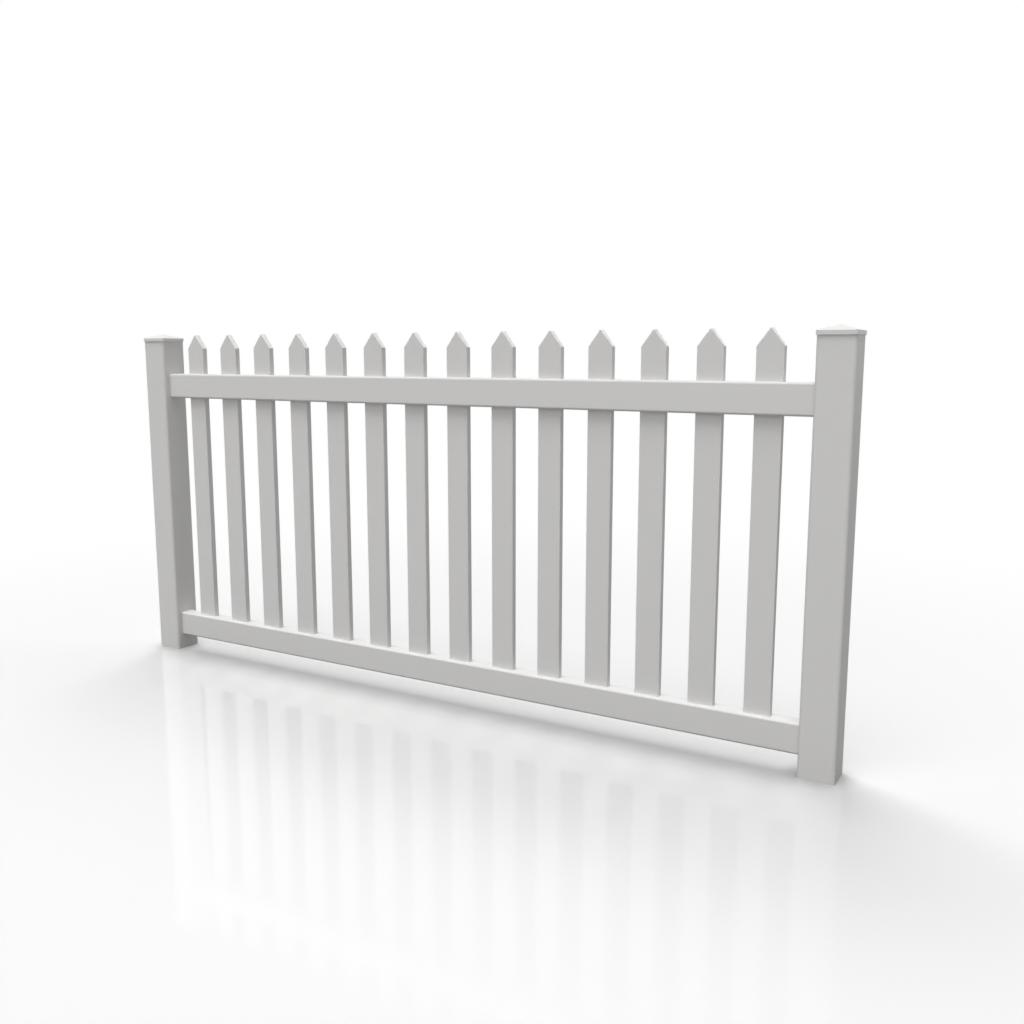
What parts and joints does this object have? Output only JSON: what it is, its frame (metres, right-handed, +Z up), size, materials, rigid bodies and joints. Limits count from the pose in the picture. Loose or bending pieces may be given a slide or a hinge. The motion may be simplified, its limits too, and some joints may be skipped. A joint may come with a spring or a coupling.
{
  "type": "picket fence panel",
  "caption": "White vinyl picket fence bay: square posts with low pyramid caps, rails let into the posts and a row of pointed pickets through the top rail; encloses a garden",
  "frame": {"origin": "centre of the left post's foot, on the ground", "axes": "+X along the fence to the right post, +Y to the back of the fence, +Z up"},
  "size_m": [2.5968, 0.1076, 1.2055],
  "materials": {
    "post": "satin",
    "cap": "satin",
    "rail": "satin",
    "picket": "satin"
  },
  "bodies": {
    "root": {"left_post": "post", "right_post": "post", "left_post_cap": "cap", "right_post_cap": "cap", "bottom_rail": "rail", "top_rail": "rail", "picket_01": "picket", "picket_02": "picket", "picket_03": "picket", "picket_04": "picket", "picket_05": "picket", "picket_06": "picket", "picket_07": "picket", "picket_08": "picket", "picket_09": "picket", "picket_10": "picket", "picket_11": "picket", "picket_12": "picket", "picket_13": "picket", "picket_14": "picket"}
  },
  "joints": []
}
